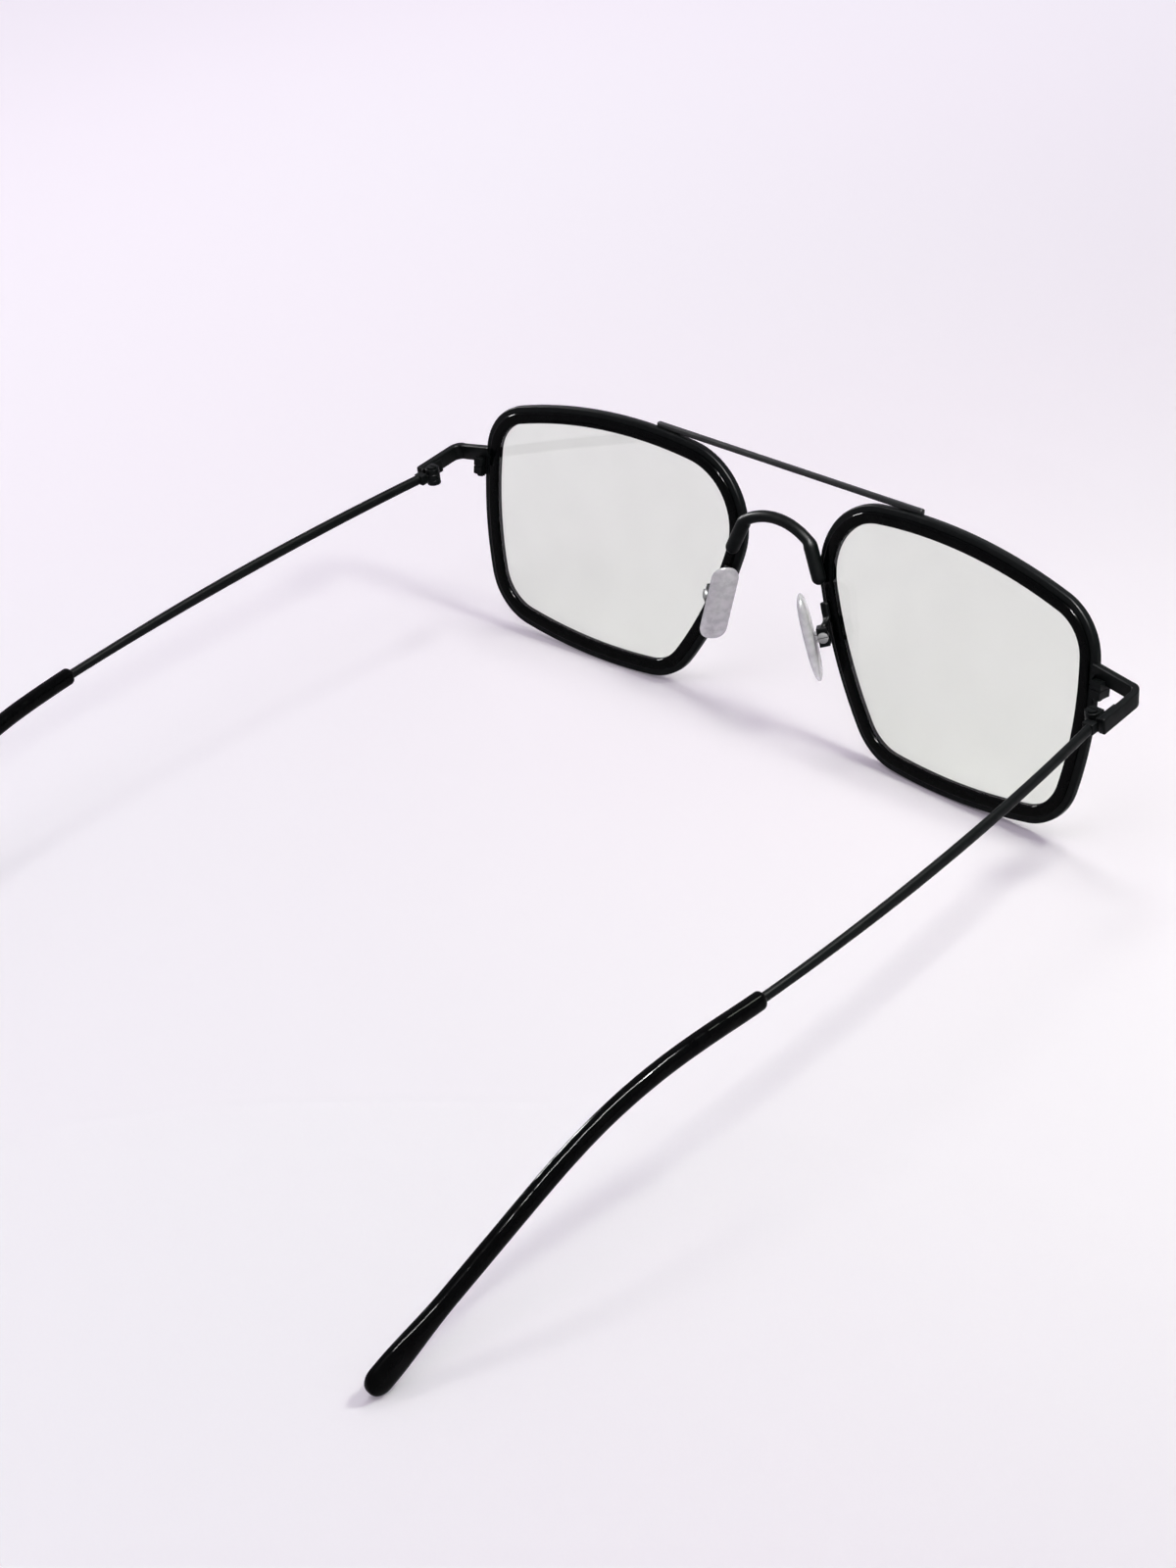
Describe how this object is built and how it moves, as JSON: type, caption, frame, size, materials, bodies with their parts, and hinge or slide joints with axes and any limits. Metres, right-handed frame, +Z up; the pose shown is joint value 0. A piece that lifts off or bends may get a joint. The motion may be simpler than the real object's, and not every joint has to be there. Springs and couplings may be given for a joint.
{
  "type": "square eyeglasses",
  "caption": "Rounded square metal and plastic eyeglasses with a straight upper bar over an arched lower bridge, clear nose pads and folding slim temples with black tips.",
  "frame": {"origin": "middle of the glasses' footprint, on the surface that the two rims and the two tips stand on", "axes": "+X to the wearer's left, +Y back along the open temples towards the ears, +Z up; the front faces -Y"},
  "size_m": [0.1446, 0.1573, 0.0431],
  "materials": {
    "frame_metal": "satin near-black plating",
    "black_plastic": "polished blue-black",
    "tip_plastic": "polished black",
    "lens": "clear with a faint grey-green tint",
    "pad_plastic": "clear soft plastic",
    "pad_core_plastic": "clear hard plastic",
    "screw_steel": "bright turned"
  },
  "bodies": {
    "front": {"rim_wire_left": "frame_metal", "rim_wire_right": "frame_metal", "rim_insert_left": "black_plastic", "rim_insert_right": "black_plastic", "lens_left": "lens", "lens_right": "lens", "upper_bar": "frame_metal", "lower_bridge": "frame_metal", "end_piece_left": "frame_metal", "end_piece_right": "frame_metal", "lock_upper_left": "frame_metal", "lock_upper_right": "frame_metal", "lock_lower_left": "frame_metal", "lock_lower_right": "frame_metal", "lock_screw_left": "screw_steel", "lock_screw_right": "screw_steel", "hinge_front_left": "frame_metal", "hinge_front_right": "frame_metal", "hinge_screw_left": "screw_steel", "hinge_screw_right": "screw_steel", "pad_arm_left": "frame_metal", "pad_arm_right": "frame_metal", "pad_box_left": "frame_metal", "pad_box_right": "frame_metal", "pad_screw_left": "screw_steel", "pad_screw_right": "screw_steel"},
    "temple_left": {"hinge_temple_left": "frame_metal", "temple_wire_left": "frame_metal", "temple_tip_left": "tip_plastic"},
    "temple_right": {"hinge_temple_right": "frame_metal", "temple_wire_right": "frame_metal", "temple_tip_right": "tip_plastic"},
    "pad_left": {"nose_pad_left": "pad_plastic", "pad_core_left": "pad_core_plastic"},
    "pad_right": {"nose_pad_right": "pad_plastic", "pad_core_right": "pad_core_plastic"}
  },
  "joints": [
    {"name": "temple_fold_left", "type": "hinge", "parent": "front", "child": "temple_left", "pos_m": [0.0676, -0.06474, 0.02742], "axis": [0, 0.037, 0.9993], "range_deg": [0, 88]},
    {"name": "temple_fold_right", "type": "hinge", "parent": "front", "child": "temple_right", "pos_m": [-0.0676, -0.06474, 0.02742], "axis": [0, -0.037, -0.9993], "range_deg": [0, 84]},
    {"name": "nose_pad_rock_left", "type": "hinge", "parent": "front", "child": "pad_left", "pos_m": [0.01153, -0.07136, 0.0194], "axis": [0.5719, 0.7913, 0.2161], "range_deg": [-8, 8]},
    {"name": "nose_pad_rock_right", "type": "hinge", "parent": "front", "child": "pad_right", "pos_m": [-0.01153, -0.07136, 0.0194], "axis": [0.5719, -0.7913, -0.2161], "range_deg": [-8, 8]}
  ]
}
